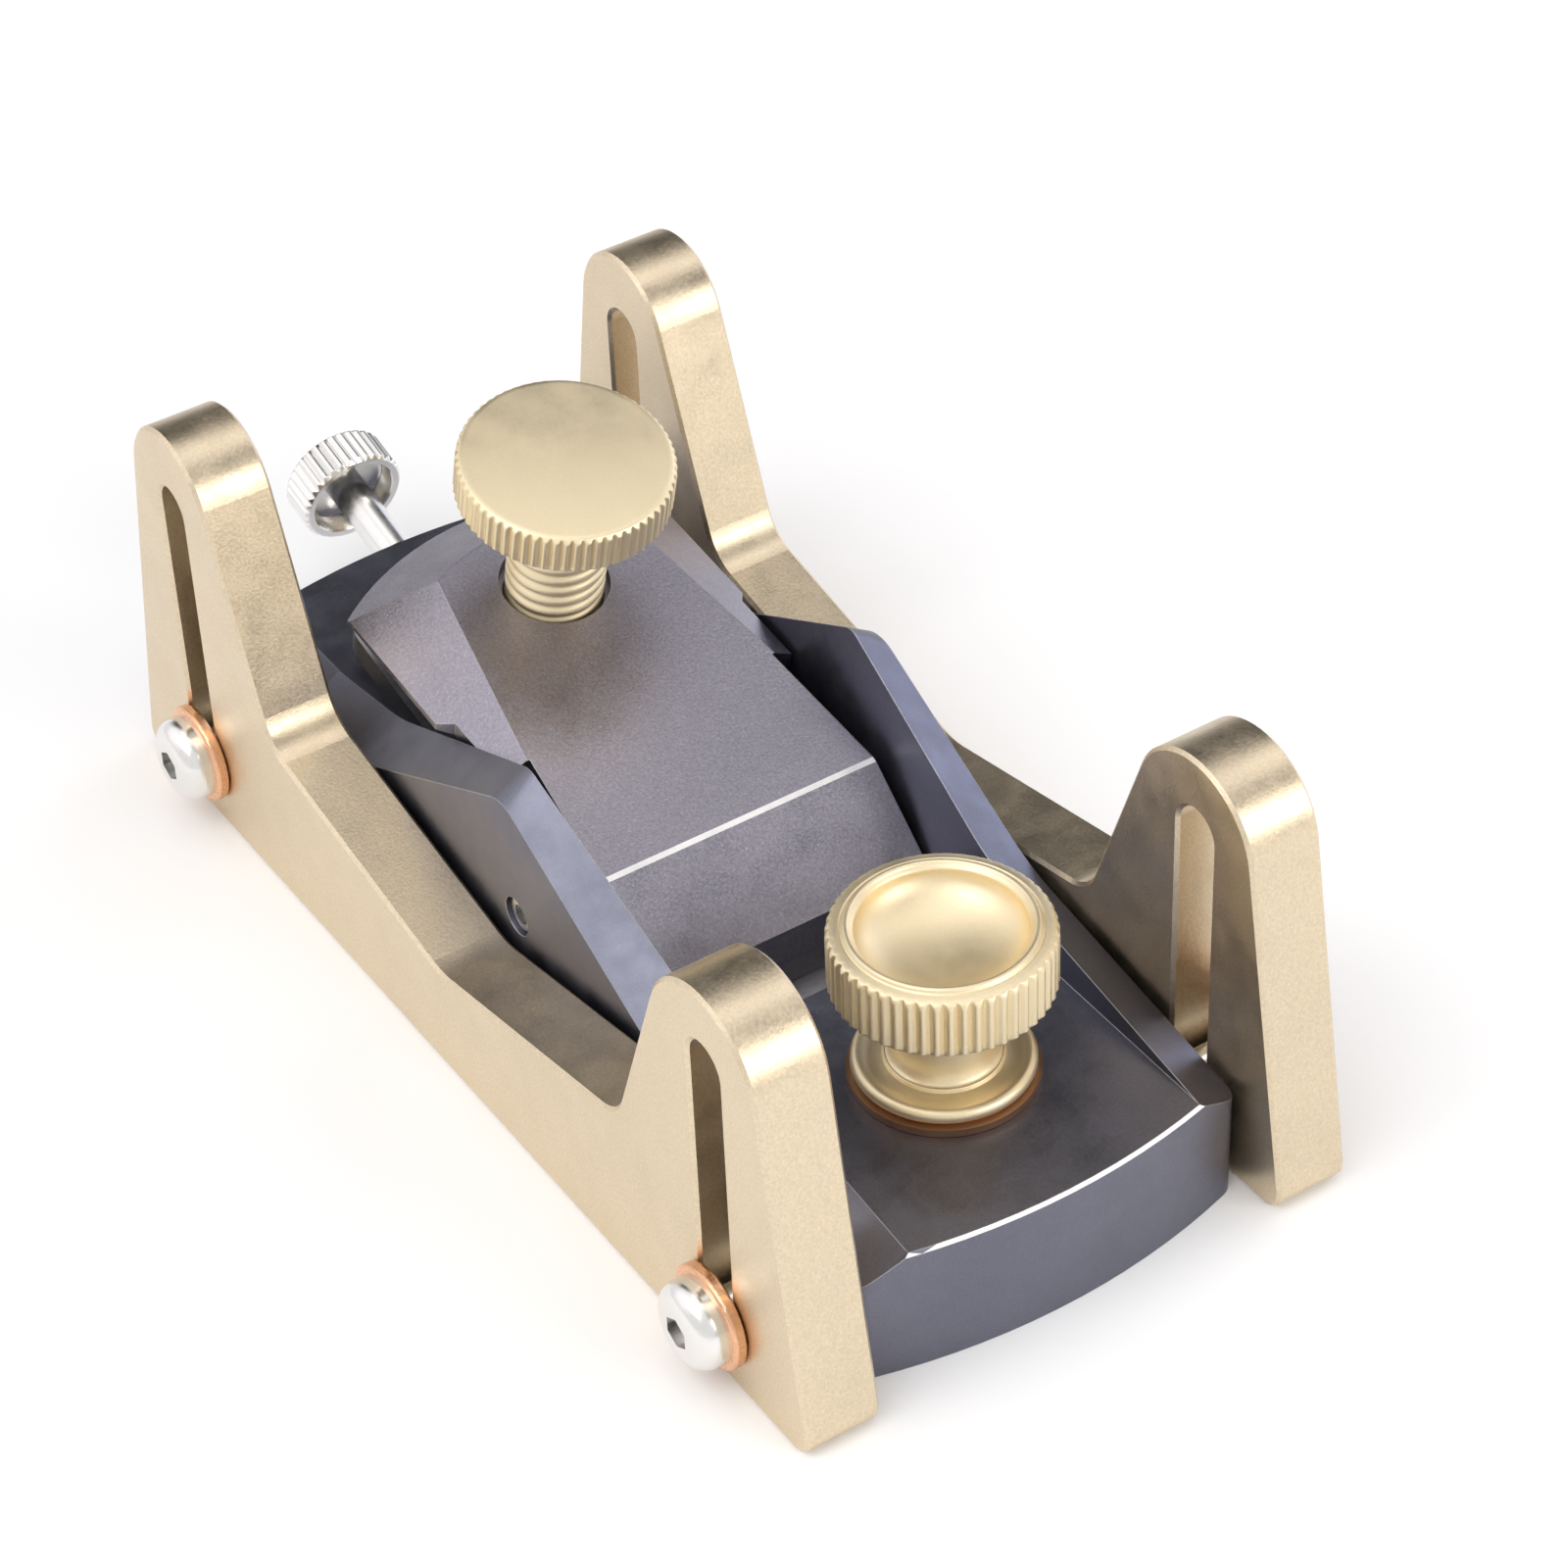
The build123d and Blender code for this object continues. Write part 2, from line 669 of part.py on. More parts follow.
with BuildPart() as blade:
    with BuildSketch(side_plane(blade_width / 2)):
        with BuildLine():
            Polyline(
                on_bed(blade_edge_along, bed_gap),
                on_bed(blade_edge_along + blade_thickness / tan(radians(blade_bevel_angle)),
                       bed_gap + blade_thickness),
                on_bed(blade_length, bed_gap + blade_thickness),
                on_bed(blade_length, bed_gap),
                close=True,
            )
        make_face()
    extrude(amount=blade_width)
    rear_corners = blade.edges().filter_by(Axis(
        (0, 0, 0), (sin_bed, 0, cos_bed))).group_by(Axis.X)[0]
    fillet(rear_corners, 4.0)
    with BuildSketch(bed_plane(peg_along, -1)):
        Circle(peg_diameter / 2 + fit)
    extrude(amount=blade_thickness + 3, mode=Mode.SUBTRACT)
blade.part.label = "blade"
export_step(blade.part, "parts/blade.step")

with BuildPart() as adjuster_carriage:
    with BuildSketch(bed_plane(carriage_along, -adjuster_drop - carriage_size[2] / 2)):
        Rectangle(carriage_size[0], carriage_size[1])
    extrude(amount=carriage_size[2])
    with BuildSketch(adjuster_plane(carriage_along - carriage_size[0])):
        Circle(carriage_thread / 2 + fit)
    extrude(amount=2 * carriage_size[0], mode=Mode.SUBTRACT)
    with BuildSketch(bed_plane(peg_along, -adjuster_drop + carriage_size[2] / 2)):
        Circle(peg_diameter / 2)
    extrude(amount=-1.8, mode=Mode.SUBTRACT)
adjuster_carriage.part.label = "adjuster_carriage"
export_step(adjuster_carriage.part, "parts/adjuster_carriage.step")

with BuildPart() as carriage_peg:
    peg_foot = -adjuster_drop + carriage_size[2] / 2 - 1.8
    with BuildSketch(bed_plane(peg_along, peg_foot)):
        Circle(peg_diameter / 2)
    extrude(amount=blade_thickness - 0.3 - peg_foot)
carriage_peg.part.label = "carriage_peg"
export_step(carriage_peg.part, "parts/carriage_peg.step")


# ---- adjuster: bush in the heel, shaft, thrust collar and knob ----------------------
bush_along = heel_pocket_along[1]
shaft_start_along = 61.8
collar_thickness = 1.5
collar_diameter = 5.0
shaft_step_along = bush_along + bush_length + 0.1
shaft_shoulder_along = 85.2      # the shaft is thicker outside the heel
shaft_end_diameter = 4.0
adjuster_knob_along = (94.3, 99.0)
adjuster_knob_radius = 5.9
adjuster_knob_recess = (4.7, 2.6)   # radius, depth
knob_bore_end = adjuster_knob_along[1] - 1.2

with BuildPart() as adjuster_bush:
    with BuildSketch(adjuster_plane(bush_along)):
        Circle(bush_diameter / 2)
        Circle(carriage_thread / 2 + fit, mode=Mode.SUBTRACT)
    extrude(amount=bush_length)
adjuster_bush.part.label = "adjuster_bush"
export_step(adjuster_bush.part, "parts/adjuster_bush.step")

with BuildPart() as adjuster_shaft:
    with BuildSketch(adjuster_plane(shaft_start_along)):
        Circle(carriage_thread / 2)
    extrude(amount=shaft_step_along - shaft_start_along)
    with BuildSketch(adjuster_plane(shaft_step_along)):
        Circle(adjuster_shaft_diameter / 2)
    extrude(amount=shaft_shoulder_along - shaft_step_along)
    with BuildSketch(adjuster_plane(shaft_shoulder_along)):
        Circle(shaft_end_diameter / 2)
    extrude(amount=knob_bore_end - shaft_shoulder_along)
adjuster_shaft.part.label = "adjuster_shaft"
export_step(adjuster_shaft.part, "parts/adjuster_shaft.step")

with BuildPart() as adjuster_collar:
    with BuildSketch(adjuster_plane(bush_along - 0.1 - collar_thickness)):
        Circle(collar_diameter / 2)
        Circle(carriage_thread / 2, mode=Mode.SUBTRACT)
    extrude(amount=collar_thickness)
adjuster_collar.part.label = "adjuster_collar"
export_step(adjuster_collar.part, "parts/adjuster_collar.step")

with BuildPart() as adjuster_knob:
    with BuildSketch(adjuster_plane(adjuster_knob_along[0])):
        Circle(adjuster_knob_radius)
    extrude(amount=adjuster_knob_along[1] - adjuster_knob_along[0])
    chamfer(adjuster_knob.edges().filter_by(GeomType.CIRCLE), 0.4)
    with BuildSketch(adjuster_plane(adjuster_knob_along[0])):
        Circle(adjuster_knob_recess[0])
    extrude(amount=adjuster_knob_recess[1], mode=Mode.SUBTRACT)
    with BuildSketch(adjuster_plane(adjuster_knob_along[0])):
        Circle(shaft_end_diameter / 2)
    extrude(amount=knob_bore_end - adjuster_knob_along[0], mode=Mode.SUBTRACT)
adjuster_knob.part.label = "adjuster_knob"
export_step(adjuster_knob.part, "parts/adjuster_knob.step")
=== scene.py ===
"""Hand plane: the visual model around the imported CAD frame.

Metres throughout, in the CAD's own frame: +X to the toe, +Y to the left-hand side, +Z up.
"""

import json
import math

import bmesh
import bpy
from mathutils import Matrix, Vector


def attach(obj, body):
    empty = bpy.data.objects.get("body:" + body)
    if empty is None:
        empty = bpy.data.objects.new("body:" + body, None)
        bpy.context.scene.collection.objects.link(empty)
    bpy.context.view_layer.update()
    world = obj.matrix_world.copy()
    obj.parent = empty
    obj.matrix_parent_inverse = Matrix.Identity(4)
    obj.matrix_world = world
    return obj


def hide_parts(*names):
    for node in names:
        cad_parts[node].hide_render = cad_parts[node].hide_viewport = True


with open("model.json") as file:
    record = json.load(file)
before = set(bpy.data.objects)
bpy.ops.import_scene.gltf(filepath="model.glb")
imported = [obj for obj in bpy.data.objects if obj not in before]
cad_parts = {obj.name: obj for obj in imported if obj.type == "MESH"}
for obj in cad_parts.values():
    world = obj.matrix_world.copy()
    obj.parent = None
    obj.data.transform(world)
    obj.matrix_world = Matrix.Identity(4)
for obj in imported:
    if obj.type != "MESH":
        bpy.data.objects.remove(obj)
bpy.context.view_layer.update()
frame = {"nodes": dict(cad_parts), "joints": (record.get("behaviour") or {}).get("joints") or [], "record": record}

MM = 0.001
nodes = frame["nodes"]
joints = {joint["name"]: joint for joint in frame["joints"]}


# ---- camera -----------------------------------------------------------------------------
CAMERA_PLACE = (0.28486, -0.16905, 0.29422)
CAMERA_FORWARD = (-0.65346, 0.40860, -0.63721)
CAMERA_ROLL = math.radians(-2.521)
CAMERA_LENS = 102.48


def make_camera():
    forward = Vector(CAMERA_FORWARD).normalized()
    level = forward.cross(Vector((0, 0, 1))).normalized()
    upright = level.cross(forward)
    right = level * math.cos(CAMERA_ROLL) + upright * math.sin(CAMERA_ROLL)
    up = upright * math.cos(CAMERA_ROLL) - level * math.sin(CAMERA_ROLL)
    data = bpy.data.cameras.new("camera")
    data.lens = CAMERA_LENS
    data.sensor_width = 36.0
    data.clip_start = 0.01
    camera = bpy.data.objects.new("camera", data)
    turn = Matrix((right, up, -forward)).transposed()
    camera.matrix_world = Matrix.Translation(CAMERA_PLACE) @ turn.to_4x4()
    bpy.context.scene.collection.objects.link(camera)
    bpy.context.scene.camera = camera


# ---- node helpers -----------------------------------------------------------------------
class Graph:
    """Small builder for a material's or the world's nodes."""

    def __init__(self, tree):
        self.tree = tree

    def node(self, kind, inputs=None, **settings):
        made = self.tree.nodes.new(kind)
        for name, value in settings.items():
            setattr(made, name, value)
        for key, value in (inputs or {}).items():
            if isinstance(value, bpy.types.NodeSocket):
                self.tree.links.new(value, made.inputs[key])
            else:
                made.inputs[key].default_value = value
        return made

    def math(self, operation, a, b=0.0):
        return self.node("ShaderNodeMath", {0: a, 1: b}, operation=operation).outputs[0]

    def vector_math(self, operation, a, b):
        return self.node("ShaderNodeVectorMath", {0: a, 1: b}, operation=operation).outputs[0]

    def noise(self, vector, scale, detail=3.0, roughness=0.55):
        made = self.node(
            "ShaderNodeTexNoise",
            {"Vector": vector, "Scale": scale, "Detail": detail, "Roughness": roughness},
        )
        return made.outputs["Fac"]

    def ranged(self, value, low, high, to_low, to_high, smooth=False):
        made = self.node(
            "ShaderNodeMapRange",
            {"Value": value, "From Min": low, "From Max": high, "To Min": to_low,
             "To Max": to_high},
            interpolation_type="SMOOTHSTEP" if smooth else "LINEAR",
        )
        return made.outputs["Result"]

    def mix(self, factor, a, b, blend="MIX"):
        made = self.node("ShaderNodeMix", data_type="RGBA", blend_type=blend)
        for key, value in ((0, factor), (6, a), (7, b)):
            if isinstance(value, bpy.types.NodeSocket):
                self.tree.links.new(value, made.inputs[key])
            else:
                made.inputs[key].default_value = value
        return made.outputs[2]


def rgba(colour, factor=1.0):
    return tuple(min(1.0, channel * factor) for channel in colour) + (1.0,)


def new_material(name):
    material = bpy.data.materials.new(name)
    material.use_nodes = True
    material.node_tree.nodes.clear()
    return material, Graph(material.node_tree)


# Near-white: worn bare edges, and the painted highlight on broken edges turned one way.
BARE_AND_HIGHLIGHT_COLOUR = (0.92, 0.91, 0.90)
# Colour of the painted glints mixed into the surface colour.
GLINT_PAINT_COLOUR = (0.9, 0.9, 0.95)
HIGHLIGHT_FACE_SPREAD = 0.012    # how far the cosine of a face with the painted highlight may be from the one named
BEVEL_SAMPLES = 6


def metal(name, colour, roughness, grain_size, grain_depth, grain_tint=0.10, blotch=0.05,
          roughness_spread=0.06, stretch=(1.0, 1.0, 1.0), edge=0.0, wear=0.0, painted_glint_amount=0.0,
          painted_shade_width=None, painted_highlight_faces=None):
    """Metal with fine grain, slow shade changes, uneven roughness and softened edges.

    `edge` is the width (m) of the softened edges, `wear` how bare they are worn.
    `painted_shade_width` darkens and roughens the metal within a distance (m) of the middle plane:
    painted shade on the washer under the front knob. `painted_highlight_faces` names the broken edges
    given a painted highlight, near-white and rougher: an axis, and the cosine of the
    angle between it and their faces.
    """
    material, g = new_material(name)
    place = g.node("ShaderNodeTexCoord").outputs["Object"]
    grain_place = g.vector_math("MULTIPLY", place, stretch)
    grain = g.noise(grain_place, 1.0 / grain_size, detail=2.0, roughness=0.6)
    cloud = g.noise(place, 70.0, detail=4.0)
    smear = g.noise(place, 260.0, detail=3.0)
    tint = g.math("ADD", g.ranged(grain, 0.3, 0.7, -grain_tint, grain_tint),
                  g.ranged(cloud, 0.3, 0.7, -blotch, blotch))
    shade = g.math("ADD", tint, 1.0)
    colour_out = g.mix(1.0, rgba(colour), g.node(
        "ShaderNodeCombineColor", {0: shade, 1: shade, 2: shade}).outputs[0], "MULTIPLY")
    rough = g.math("ADD", g.ranged(smear, 0.3, 0.7, -roughness_spread, roughness_spread),
                   g.math("ADD", g.ranged(grain, 0.3, 0.7, -0.03, 0.03), roughness))
    # Painted glints: bright specks of painted highlight where a finer grain noise peaks.
    if painted_glint_amount:
        glints = g.noise(grain_place, 1.7 / grain_size, detail=1.0)
        glint = g.ranged(glints, 0.62, 0.74, 0.0, painted_glint_amount)
        colour_out = g.mix(glint, colour_out, rgba(GLINT_PAINT_COLOUR))
    # Painted shade: near the middle plane, on the washer under the front knob, the colour is darkened and the
    # roughness raised.
    if painted_shade_width:
        across = g.math("ABSOLUTE", g.node("ShaderNodeSeparateXYZ", {0: place}).outputs[1])
        painted_shade_mask = g.ranged(across, painted_shade_width, painted_shade_width + 0.001, 0.85, 0.0)
        colour_out = g.mix(painted_shade_mask, colour_out, rgba(colour, 0.34))
        rough = g.math("ADD", rough, g.math("MULTIPLY", painted_shade_mask, 0.15))
    bump = g.node("ShaderNodeBump", {"Height": grain, "Strength": 1.0, "Distance": grain_depth})
    # Painted highlight: faces turned at the named angle to the axis go near-white in patches, and rougher.
    if painted_highlight_faces:
        axis, cosine = painted_highlight_faces
        face = g.node("ShaderNodeNewGeometry").outputs["True Normal"]
        towards = g.node("ShaderNodeVectorMath", {0: face, 1: axis},
                         operation="DOT_PRODUCT").outputs["Value"]
        close = g.node("ShaderNodeMath", {0: towards, 1: cosine, 2: HIGHLIGHT_FACE_SPREAD},
                       operation="COMPARE").outputs[0]
        patchy = g.math("MULTIPLY", close, g.ranged(smear, 0.25, 0.55, 0.7, 1.0))
        colour_out = g.mix(patchy, colour_out, rgba(BARE_AND_HIGHLIGHT_COLOUR))
        rough = g.math("ADD", rough, g.math("MULTIPLY", close, 0.12))
    if edge:
        softened = g.node("ShaderNodeBevel", {"Radius": edge}, samples=BEVEL_SAMPLES).outputs[0]
        g.tree.links.new(softened, bump.inputs["Normal"])
        if wear:
            surface = g.node("ShaderNodeNewGeometry").outputs["Normal"]
            alike = g.node("ShaderNodeVectorMath", {0: softened, 1: surface},
                           operation="DOT_PRODUCT").outputs["Value"]
            bare = g.ranged(alike, 0.90, 0.99, wear, 0.0)
            colour_out = g.mix(bare, colour_out, rgba(BARE_AND_HIGHLIGHT_COLOUR))
    shader = g.node("ShaderNodeBsdfPrincipled", {
        "Base Color": colour_out, "Roughness": rough, "Metallic": 1.0,
        "Normal": bump.outputs[0],
    })
    g.node("ShaderNodeOutputMaterial", {"Surface": shader.outputs[0]})
    return material


def make_materials():
    return {
        # Body: painted glints, and a painted highlight on its broken edges turned one way.
        "grey_body": metal("grey_body", (0.172, 0.175, 0.218), 0.42, 0.00022, 0.000008,
                           grain_tint=0.08, blotch=0.06, painted_glint_amount=0.06, edge=0.00016, wear=0.45,
                           painted_highlight_faces=((0.0, 0.0, 1.0), 0.7071)),
        # Cap: painted glints, and a painted highlight on its broken edges turned one way.
        "grey_cap": metal("grey_cap", (0.325, 0.31, 0.36), 0.40, 0.00030, 0.000018,
                          grain_tint=0.14, blotch=0.05, painted_glint_amount=0.22, edge=0.00014, wear=0.45,
                          painted_highlight_faces=((0.462, 0.0, 0.887), 1.0)),
        "grey_plate": metal("grey_plate", (0.22, 0.22, 0.25), 0.34, 0.00030, 0.000006,
                            stretch=(0.08, 1.0, 1.0), edge=0.00012, wear=0.3),
        "gold_rail": metal("gold_rail", (0.73, 0.615, 0.445), 0.37, 0.00030, 0.000016,
                           grain_tint=0.09, blotch=0.03),
        "gold_knob": metal("gold_knob", (0.85, 0.73, 0.50), 0.47, 0.00020, 0.000003,
                           grain_tint=0.03, blotch=0.03),
        "polished_steel": metal("polished_steel", (0.84, 0.83, 0.81), 0.21, 0.00040, 0.0000012,
                                grain_tint=0.02, blotch=0.02, roughness_spread=0.03),
        "plain_steel": metal("plain_steel", (0.55, 0.55, 0.56), 0.28, 0.00030, 0.000004),
        "blade_steel": metal("blade_steel", (0.36, 0.36, 0.37), 0.36, 0.00030, 0.000001,
                             stretch=(1.0, 0.2, 1.0)),
        # Copper: painted shade darkens the washer under the front knob.
        "copper": metal("copper", (0.86, 0.50, 0.30), 0.28, 0.00030, 0.000005,
                        grain_tint=0.08, blotch=0.10, painted_shade_width=0.012),
        "bronze": metal("bronze", (0.62, 0.45, 0.25), 0.32, 0.00030, 0.000005),
    }


# ---- geometry helpers -------------------------------------------------------------------
def axis_frame(origin, axis):
    """Matrix whose z runs along the axis from the origin; its x stays in the XZ plane."""
    z = Vector(axis).normalized()
    x = Vector((0, 1, 0)).cross(z).normalized()
    y = z.cross(x)
    turn = Matrix((x, y, z)).transposed().to_4x4()
    return Matrix.Translation(Vector(origin)) @ turn


def spans(node, place):
    """Lowest and highest height (mm) and greatest radius (mm) of a node about an axis."""
    back = place.inverted()
    local = [back @ vertex.co for vertex in nodes[node].data.vertices]
    heights = [point.z / MM for point in local]
    radius = max(math.hypot(point.x, point.y) for point in local) / MM
    return min(heights), max(heights), radius


def arc(centre, radius, start, end, steps):
    """Points of an arc from angle start to end, in degrees."""
    points = []
    for i in range(steps + 1):
        angle = math.radians(start + (end - start) * i / steps)
        points.append((centre[0] + radius * math.cos(angle), centre[1] + radius * math.sin(angle)))
    return points


def line(start, end, steps):
    return [
        (start[0] + (end[0] - start[0]) * i / steps, start[1] + (end[1] - start[1]) * i / steps)
        for i in range(steps + 1)
    ]


def crown(rim_radius, rim, rise, steps):
    """Shallow spherical dome from its rim in to the axis."""
    sphere = (rim_radius**2 + rise**2) / (2 * rise)
    half = math.asin(rim_radius / sphere)
    points = []
    for i in range(steps):
        angle = half * (1 - i / steps)
        points.append((sphere * math.sin(angle), rim + rise - sphere * (1 - math.cos(angle))))
    return points + [(0.0, rim + rise)]


def bowl(rim_radius, rim, depth, steps):
    """Elliptical bowl, steep at its rim and flat on the axis."""
    points = []
    for i in range(steps):
        angle = math.pi / 2 * i / steps
        points.append((rim_radius * math.cos(angle), rim - depth * math.sin(angle)))
    return points + [(0.0, rim - depth)]


ON_AXIS = 1e-6       # radius (mm) below which a profile point is a single vertex
SAME_POINT = 1e-5    # mm between profile points that are taken as one


def lathe(name, profile, segments, place, body, slot, shape=None, sharp=40.0):
    """Closed surface of revolution. shape(radius, height, angle) may cut into the radius."""
    clean = [profile[0]]
    for point in profile[1:]:
        if math.hypot(point[0] - clean[-1][0], point[1] - clean[-1][1]) > SAME_POINT:
            clean.append(point)
    mesh = bpy.data.meshes.new(name)
    work = bmesh.new()
    rings = []
    for radius, height in clean:
        if radius < ON_AXIS:
            rings.append([work.verts.new((0, 0, height * MM))])
            continue
        ring = []
        for i in range(segments):
            angle = 2 * math.pi * i / segments
            r = shape(radius, height, angle) if shape else radius
            ring.append(work.verts.new((r * math.cos(angle) * MM, r * math.sin(angle) * MM,
                                        height * MM)))
        rings.append(ring)
    closed = len(rings[0]) > 1
    pairs = list(zip(rings, rings[1:] + ([rings[0]] if closed else [])))
    for low, high in pairs if closed else pairs[:len(rings) - 1]:
        for i in range(segments):
            j = (i + 1) % segments
            if len(low) == 1:
                work.faces.new((low[0], high[i], high[j]))
            elif len(high) == 1:
                work.faces.new((low[i], high[0], low[j]))
            else:
                work.faces.new((low[i], high[i], high[j], low[j]))
    bmesh.ops.recalc_face_normals(work, faces=work.faces)
    work.transform(place)
    work.to_mesh(mesh)
    work.free()
    for polygon in mesh.polygons:
        polygon.use_smooth = True
    mesh.set_sharp_from_angle(angle=math.radians(sharp))
    mesh.materials.append(materials[slot])
    piece = bpy.data.objects.new(name, mesh)
    bpy.context.scene.collection.objects.link(piece)
    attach(piece, body)
    return piece


# Number of teeth of each knurl, and their depth in mm.
CAP_KNURL = (64, 0.38)
FRONT_KNURL = (52, 0.42)
ADJUSTER_KNURL = (34, 0.34)
TOOTH_STEPS = 8
GROOVE_SHARPNESS = 1.6

# Thread of the clamp screw, in mm.
THREAD_PITCH = 1.5
THREAD_DEPTH = 0.42
THREAD_CREST = 5.0
THREAD_RINGS = 9
THREAD_SHARPNESS = 1.4


def knurl(teeth, depth, outer, low, high):
    """Straight knurl between two heights: narrow rounded grooves cut in from `outer`."""

    def shape(radius, height, angle):
        if not low <= height <= high:
            return radius
        groove = (0.5 + 0.5 * math.cos(teeth * angle)) ** GROOVE_SHARPNESS
        return min(radius, outer - depth * groove)

    return shape


def thread(radius, height, angle):
    """Rounded helical groove cut into everything at the thread's crest."""
    if radius < THREAD_CREST - 0.01:
        return radius
    turn = height / THREAD_PITCH - angle / (2 * math.pi)
    groove = (0.5 + 0.5 * math.cos(2 * math.pi * turn)) ** THREAD_SHARPNESS
    return radius - THREAD_DEPTH * groove


# ---- pieces -----------------------------------------------------------------------------
def make_cap_knob():
    """Knurled, slightly crowned head on a coarse rounded thread."""
    joint = joints["cap_knob_turn"]
    place = axis_frame(joint["pos_m"], joint["axis"])
    bottom, top, radius = spans("cap_knob", place)
    head_low = top - 5.0
    rim = radius - 0.5
    rise = 0.4
    profile = [(0.0, head_low), (4.0, head_low)]
    profile += line((rim, head_low), (radius, head_low + 0.45), 4)
    profile += line((radius, head_low + 0.5), (radius, top - 1.0), 8)
    profile += line((radius - 0.05, top - rise - 0.4), (rim + 0.1, top - rise - 0.06), 4)
    profile += crown(rim, top - rise, rise, 26)
    head = lathe("cap_knob_head", profile, TOOTH_STEPS * CAP_KNURL[0], place, "cap_knob",
                 "gold_knob", knurl(*CAP_KNURL, radius, head_low - 1, top + 1))
    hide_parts("cap_knob")

    # stem, from the foot's bore up to just inside the head
    stem_low = bottom + 0.8
    stem_top = head_low + 0.3
    profile = [(0.0, bottom + 3.2), (1.55, bottom + 3.2), (1.55, bottom), (4.2, bottom)]
    profile += [(4.5, bottom + 0.3), (THREAD_CREST, stem_low)]
    steps = int((stem_top - stem_low) / (THREAD_PITCH / THREAD_RINGS))
    profile += line((THREAD_CREST, stem_low), (THREAD_CREST, stem_top), steps)[1:]
    profile += [(0.0, stem_top)]
    stem = lathe("cap_knob_screw", profile, 96, place, "cap_knob", "gold_knob", thread, 60.0)
    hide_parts("cap_knob")


def make_front_knob():
    """Knurled lock knob with a lipped bowl, a neck and a hollow-topped flange."""
    centre = joints["front_knob_turn"]["pos_m"]
    place = axis_frame((centre[0], centre[1], 0), (0, 0, 1))
    foot, top, radius = spans("front_knob", place)
    head_low = top - 6.9
    bore = 3.05
    bore_top = 26.4
    flange = 8.6
    bead = 5.6
    neck = 4.7
    # bore, rounded flange with a hollow top, then the bead at the neck's foot
    profile = [(0.0, bore_top), (bore, bore_top), (bore, foot), (flange - 0.5, foot)]
    profile += arc((flange - 0.8, foot + 0.8), 0.8, -60, 75, 12)
    profile += [(flange - 0.9, foot + 1.57), (flange - 1.3, foot + 1.42)]
    profile += [(flange - 1.9, foot + 1.32)]
    profile += [(bead + 0.4, foot + 1.36), (bead + 0.1, foot + 1.42)]
    profile += arc((bead - 0.16, foot + 1.62), 0.16, 0, 120, 5)
    profile += [(bead - 0.45, foot + 1.85), (5.0, foot + 2.15), (4.82, foot + 2.5)]
    profile += [(neck, foot + 3.1), (neck, head_low), (8.0, head_low)]
    # head, its shoulder and lip, and the bowl inside
    profile += line((radius - 0.6, head_low), (radius, head_low + 0.5), 4)
    profile += line((radius, head_low + 0.55), (radius, top - 1.25), 10)
    profile += arc((radius - 0.8, top - 1.25), 0.8, 4, 62, 9)
    profile += [(9.6, top - 0.44), (9.3, top - 0.36), (9.16, top - 0.44), (9.04, top - 0.36)]
    profile += arc((8.62, top - 0.36), 0.36, 20, 160, 8)
    profile += [(8.16, top - 0.32), (7.98, top - 0.5)]
    profile += bowl(7.9, top - 0.6, 3.6, 30)
    knob = lathe("front_knob_turned", profile, TOOTH_STEPS * FRONT_KNURL[0], place,
                 "front_knob", "gold_knob",
                 knurl(*FRONT_KNURL, radius, head_low - 0.5, top - 0.5))
    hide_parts("front_knob")


def make_adjuster_knob():
    """Small knurled knob, deeply recessed on the side that faces the plane."""
    joint = joints["adjuster_turn"]
    place = axis_frame(joint["pos_m"], joint["axis"])
    low, high, radius = spans("adjuster_knob", place)
    bore = 2.01
    profile = [(bore, low + 2.6), (4.45, low + 2.6), (4.7, low + 2.4), (4.7, low + 0.2)]
    profile += [(4.85, low + 0.03), (5.3, low)]
    profile += line((5.5, low), (radius, low + 0.4), 4)
    profile += line((radius, low + 0.45), (radius, high - 0.45), 8)
    profile += line((radius, high - 0.4), (5.4, high), 4)
    profile += [(4.6, high), (4.4, high - 0.15), (bore, high - 0.15)]
    knob = lathe("adjuster_knob_turned", profile, TOOTH_STEPS * ADJUSTER_KNURL[0], place,
                 "adjuster", "polished_steel",
                 knurl(*ADJUSTER_KNURL, radius, low - 1, high + 1))
    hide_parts("adjuster_knob")


def finish_cad_nodes():
    """Gives every CAD node its slot's material."""
    for entry in frame["record"]["subparts"]:
        node = nodes[entry["node"]]
        node.data.materials.clear()
        node.data.materials.append(materials[entry["material_slot"]])


# ---- surroundings -----------------------------------------------------------------------
def make_floor():
    size = 3.0
    mesh = bpy.data.meshes.new("floor")
    work = bmesh.new()
    bmesh.ops.create_grid(work, x_segments=4, y_segments=4, size=size)
    work.to_mesh(mesh)
    work.free()
    floor = bpy.data.objects.new("floor", mesh)
    floor.location.z = -0.00002
    bpy.context.scene.collection.objects.link(floor)
    material, g = new_material("floor")
    place = g.node("ShaderNodeTexCoord").outputs["Object"]
    cloud = g.noise(place, 6.0)
    shade = g.mix(cloud, (0.94, 0.94, 0.94, 1.0), (0.96, 0.96, 0.96, 1.0))
    shader = g.node("ShaderNodeBsdfPrincipled", {"Base Color": shade, "Roughness": 0.8})
    g.node("ShaderNodeOutputMaterial", {"Surface": shader.outputs[0]})
    mesh.materials.append(material)


def make_light(name, direction, distance, width, height, radiance, colour=(1.0, 1.0, 1.0)):
    """Softbox facing the object from a direction, as bright as `radiance` to look at."""
    towards = Vector(direction).normalized()
    data = bpy.data.lights.new(name, "AREA")
    data.shape = "RECTANGLE"
    data.size = width
    data.size_y = height
    data.energy = radiance * math.pi * width * height
    data.color = colour
    light = bpy.data.objects.new(name, data)
    light.location = towards * distance
    light.rotation_euler = towards.to_track_quat("Z", "Y").to_euler()
    light.visible_camera = False
    bpy.context.scene.collection.objects.link(light)


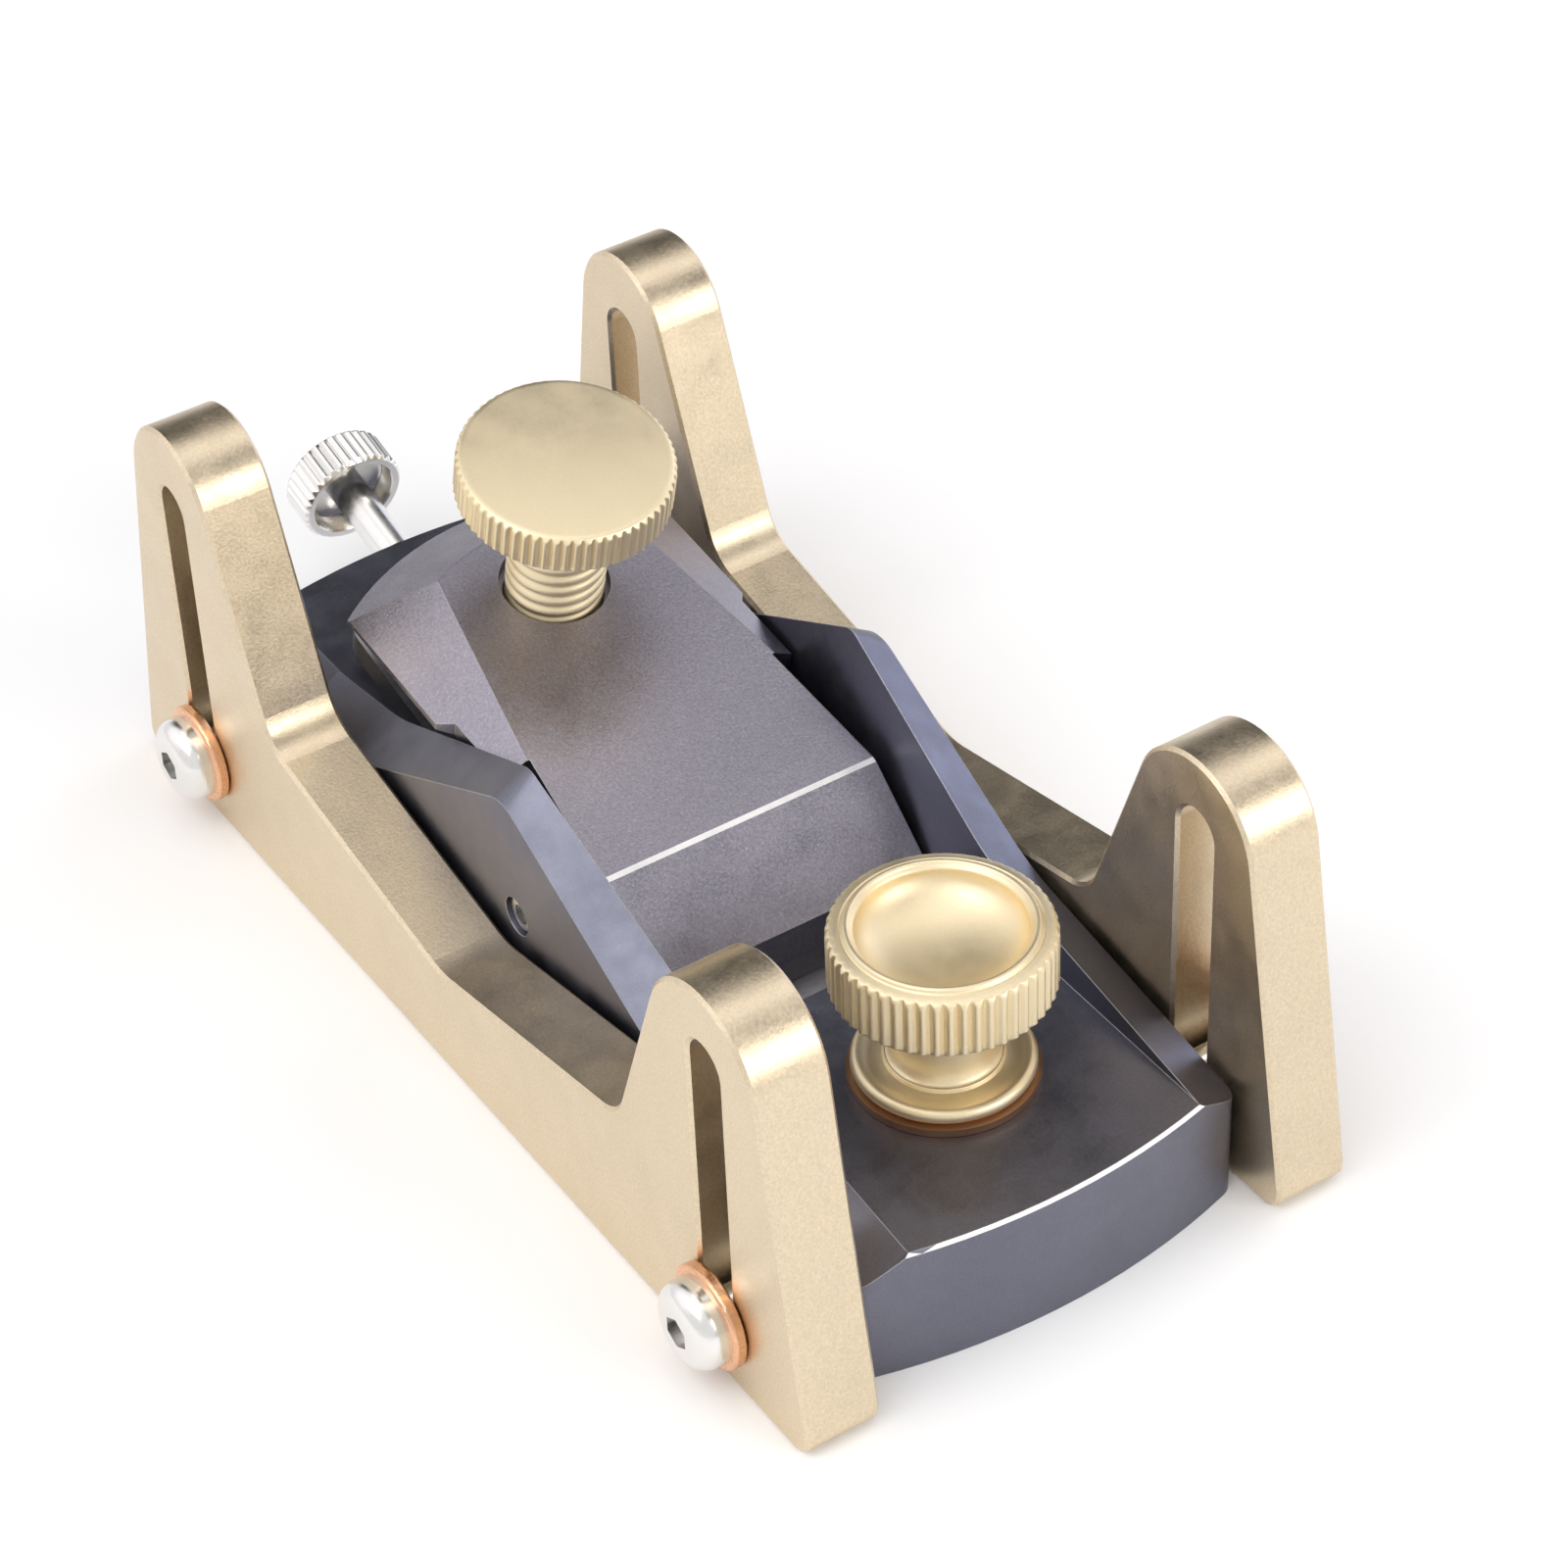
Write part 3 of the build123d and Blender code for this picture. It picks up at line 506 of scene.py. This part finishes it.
# Brightness of the studio's parts, as seen from the object.
ROOM = (0.87, 0.86, 0.86, 1.0)
OVERHEAD = (1.50, 1.47, 1.47, 1.0)
DIM = (0.06, 0.06, 0.06, 1.0)
FRONT_TOP = (0.16, 0.16, 0.17, 1.0)
FRONT_LOW = (0.40, 0.39, 0.37, 1.0)
LEFT = (1.7, 1.8, 2.2, 1.0)
RIGHT_BACK = (1.2, 1.18, 1.2, 1.0)


def make_world():
    """Soft studio: a pale room with brighter and darker parts, each about a direction."""
    world = bpy.data.worlds.new("studio")
    world.use_nodes = True
    world.node_tree.nodes.clear()
    g = Graph(world.node_tree)
    direction = g.node("ShaderNodeTexCoord").outputs["Generated"]

    def lobe(axis, inner, outer):
        """1 within `inner` degrees of an axis, falling smoothly to 0 at `outer`."""
        unit = tuple(Vector(axis).normalized())
        dot = g.node("ShaderNodeVectorMath", {0: direction, 1: unit},
                     operation="DOT_PRODUCT").outputs["Value"]
        return g.ranged(dot, math.cos(math.radians(outer)), math.cos(math.radians(inner)),
                        0.0, 1.0, smooth=True)

    shade = ROOM
    for axis, inner, outer, part in (
        ((-0.06, 0.32, 0.94), 16, 40, OVERHEAD),
        ((-0.72, 0.43, 0.55), 20, 38, DIM),
        ((0.52, 0.41, 0.77), 10, 26, FRONT_TOP),
        ((0.91, 0.41, 0.02), 8, 22, FRONT_LOW),
        ((-0.20, 0.95, 0.24), 10, 24, LEFT),
        ((-0.5, -0.6, 0.62), 12, 40, RIGHT_BACK),
    ):
        shade = g.mix(lobe(axis, inner, outer), shade, part)
    background = g.node("ShaderNodeBackground", {"Color": shade, "Strength": 1.0})
    g.node("ShaderNodeOutputWorld", {"Surface": background.outputs[0]})
    bpy.context.scene.world = world


def make_lights():
    make_light("key", (0.80, 0.39, 0.47), 0.8, 0.44, 0.34, 3.8, (1.0, 0.985, 0.95))
    make_light("right", (0.12, -0.56, 0.82), 0.8, 0.60, 0.42, 2.1, (0.98, 0.99, 1.0))


materials = make_materials()
make_camera()
make_cap_knob()
make_front_knob()
make_adjuster_knob()
finish_cad_nodes()
make_floor()
make_world()
make_lights()
bpy.context.scene.view_settings.view_transform = "Standard"
